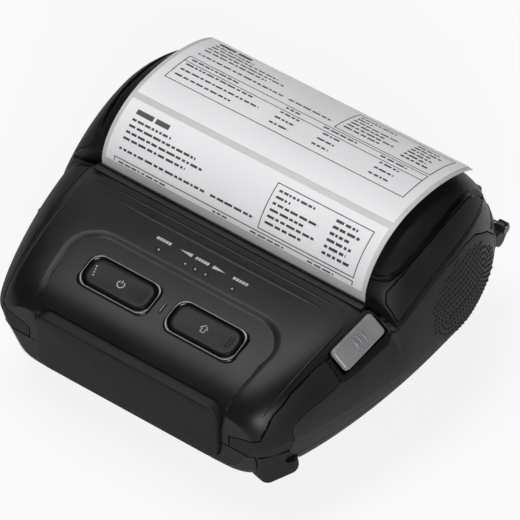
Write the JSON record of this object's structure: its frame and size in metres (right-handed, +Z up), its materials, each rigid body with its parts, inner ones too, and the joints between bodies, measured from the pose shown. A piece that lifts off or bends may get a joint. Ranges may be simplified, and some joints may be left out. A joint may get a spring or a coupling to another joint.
{
  "type": "portable label printer",
  "caption": "Rounded portable thermal label printer with a hinged drop-in media lid, rubber corner pads, two keys, a slide-out battery and a printed strip arching back over the lid.",
  "frame": {"origin": "centre of the bounding box on the table, under the four feet", "axes": "+Z up from the table, -Y towards the operator at the front, +X to the operator's right"},
  "size_m": [0.1536, 0.1396, 0.0769],
  "materials": {
    "shell": "fine satin grain, brownish black",
    "pad": "matt blue-grey elastomer",
    "gloss_black": "gloss",
    "key": "satin",
    "grey_key": "satin light grey",
    "steel": "brushed",
    "motor_grey": "satin",
    "inner_plastic": "matt",
    "bronze": "sintered",
    "roller_rubber": "ground matt",
    "gear_plastic": "satin",
    "ceramic": "glazed",
    "aluminium": "extruded",
    "paper": "coated paper",
    "liner": "silicone-coated paper",
    "card": "card tube",
    "board_green": "solder mask",
    "clear": "clear",
    "battery_black": "matt"
  },
  "bodies": {
    "chassis": {"bottom_case": "shell", "top_case": "shell", "front_pad": "pad", "corner_bumper_left": "pad", "corner_bumper_right": "pad", "corner_foot_left": "pad", "corner_foot_right": "pad", "side_grip_left": "pad", "side_grip_right": "pad", "key_trim": "gloss_black", "tear_bar": "steel", "hinge_pin": "steel", "idler_pin": "steel", "motor_body": "motor_grey", "gear_plate": "steel", "head_springs": "steel", "head_bracket": "steel", "roll_tray": "inner_plastic", "head_cable": "liner", "main_board": "board_green", "board_parts": "inner_plastic", "key_board": "board_green", "key_switches": "inner_plastic", "light_pipes": "clear", "dc_jack": "inner_plastic", "usb_socket": "steel", "port_pin": "steel", "case_screws": "steel", "feet": "pad", "strap_bar": "steel"},
    "lid": {"lid": "shell", "lid_pad_left": "pad", "lid_pad_right": "pad", "lid_frame": "inner_plastic", "platen_bushings": "bronze", "label_strip": "liner", "labels": "paper", "media_sensor": "inner_plastic"},
    "platen": {"platen_shaft": "steel", "platen_rubber": "roller_rubber", "platen_gear": "gear_plastic"},
    "idler": {"idler_gear": "gear_plastic"},
    "rotor": {"motor_rotor": "steel"},
    "head": {"print_head": "ceramic", "heat_sink": "aluminium"},
    "latch": {"latch_shaft": "steel", "latch_hook_left": "steel", "latch_hook_right": "steel"},
    "release": {"release_button": "grey_key"},
    "power_key": {"power_key": "key"},
    "feed_key": {"feed_key": "key"},
    "roll": {"label_roll": "paper", "roll_core": "card"},
    "battery": {"battery_pack": "battery_black", "battery_door": "shell"},
    "battery_catch": {"battery_latch": "grey_key"},
    "port_cover": {"port_cover": "pad"}
  },
  "joints": [
    {"name": "lid_hinge", "type": "hinge", "parent": "chassis", "child": "lid", "pos_m": [0, 0.05845, 0.0495], "axis": [-1, 0, 0], "range_deg": [0, 90]},
    {"name": "platen_spin", "type": "hinge", "parent": "lid", "child": "platen", "pos_m": [0, -0.00135, 0.046], "axis": [1, 0, 0], "continuous": true},
    {"name": "idler_spin", "type": "hinge", "parent": "chassis", "child": "idler", "pos_m": [0, -0.00135, 0.0285], "axis": [1, 0, 0], "continuous": true},
    {"name": "rotor_spin", "type": "hinge", "parent": "chassis", "child": "rotor", "pos_m": [0, -0.01535, 0.02055], "axis": [1, 0, 0], "continuous": true},
    {"name": "roll_spin", "type": "hinge", "parent": "chassis", "child": "roll", "pos_m": [0, 0.03065, 0.0336], "axis": [1, 0, 0], "continuous": true},
    {"name": "head_slide", "type": "slide", "parent": "chassis", "child": "head", "axis": [0, -1, 0], "range_m": [0, 0.0008], "stiffness_N_per_m": 4000, "springref_m": -0.0005},
    {"name": "release_press", "type": "slide", "parent": "chassis", "child": "release", "axis": [-0.6157, 0, -0.788], "range_m": [0, 0.0018], "stiffness_N_per_m": 400, "springref_m": -0.001},
    {"name": "latch_turn", "type": "hinge", "parent": "chassis", "child": "latch", "pos_m": [0, -0.00335, 0.0345], "axis": [1, 0, 0], "range_deg": [0, 8]},
    {"name": "power_press", "type": "slide", "parent": "chassis", "child": "power_key", "axis": [0, 0.2419, -0.9703], "range_m": [0, 0.0008], "stiffness_N_per_m": 500, "springref_m": -0.0008},
    {"name": "feed_press", "type": "slide", "parent": "chassis", "child": "feed_key", "axis": [0, 0.2419, -0.9703], "range_m": [0, 0.0008], "stiffness_N_per_m": 500, "springref_m": -0.0008},
    {"name": "battery_slide", "type": "slide", "parent": "chassis", "child": "battery", "axis": [-1, 0, 0], "range_m": [0, 0.085]},
    {"name": "catch_press", "type": "slide", "parent": "battery", "child": "battery_catch", "axis": [0, 1, 0], "range_m": [0, 0.002], "stiffness_N_per_m": 300, "springref_m": -0.001},
    {"name": "port_cover_hinge", "type": "hinge", "parent": "chassis", "child": "port_cover", "pos_m": [-0.06866, -0.02565, 0.0335], "axis": [0, 0, -1], "range_deg": [0, 90]}
  ],
  "couplings": [
    {"joint": "idler_spin", "follows": "platen_spin", "ratio": -0.47059},
    {"joint": "rotor_spin", "follows": "platen_spin", "ratio": 1.3333},
    {"joint": "roll_spin", "follows": "platen_spin", "ratio": -0.26667},
    {"joint": "latch_turn", "follows": "release_press", "rad_per_m": 77.57}
  ]
}
